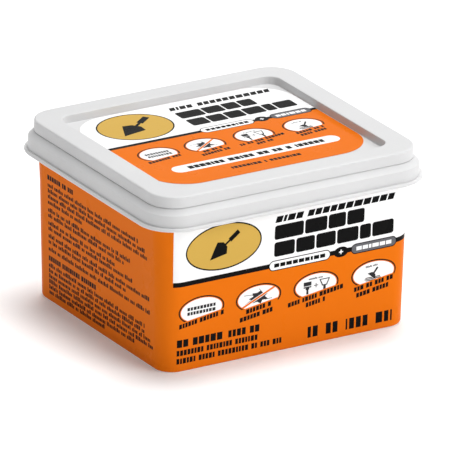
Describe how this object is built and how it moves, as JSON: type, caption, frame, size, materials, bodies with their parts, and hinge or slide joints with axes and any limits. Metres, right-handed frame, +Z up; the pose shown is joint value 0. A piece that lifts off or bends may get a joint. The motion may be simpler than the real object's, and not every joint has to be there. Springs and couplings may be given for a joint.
{
  "type": "snap-lid filler tub",
  "caption": "Rectangular plastic tub of white spackling paste with a press-on lid that lifts off, a printed wrap label and a printed lid label",
  "frame": {"origin": "centre of the footprint, on the table under the tub", "axes": "+Z up; the printed front faces -Y; the longer side runs along X"},
  "size_m": [0.115, 0.105, 0.068],
  "materials": {
    "tub_plastic": "white injection-moulded polypropylene, satin",
    "lid_plastic": "white injection-moulded polypropylene, satin",
    "wrap_film": "orange and white printed in-mould film with black print",
    "lid_film": "orange and white printed in-mould film with black print",
    "filler_paste": "smooth white water-based filler, wet and slightly glossy"
  },
  "bodies": {
    "tub_body": {"tub": "tub_plastic", "wrap_label": "wrap_film", "spackling_compound": "filler_paste"},
    "lid_body": {"lid": "lid_plastic", "lid_label": "lid_film"}
  },
  "joints": [
    {"name": "lid_lift", "type": "slide", "parent": "tub_body", "child": "lid_body", "axis": [0, 0, 1], "range_m": [0, 0.045]}
  ]
}
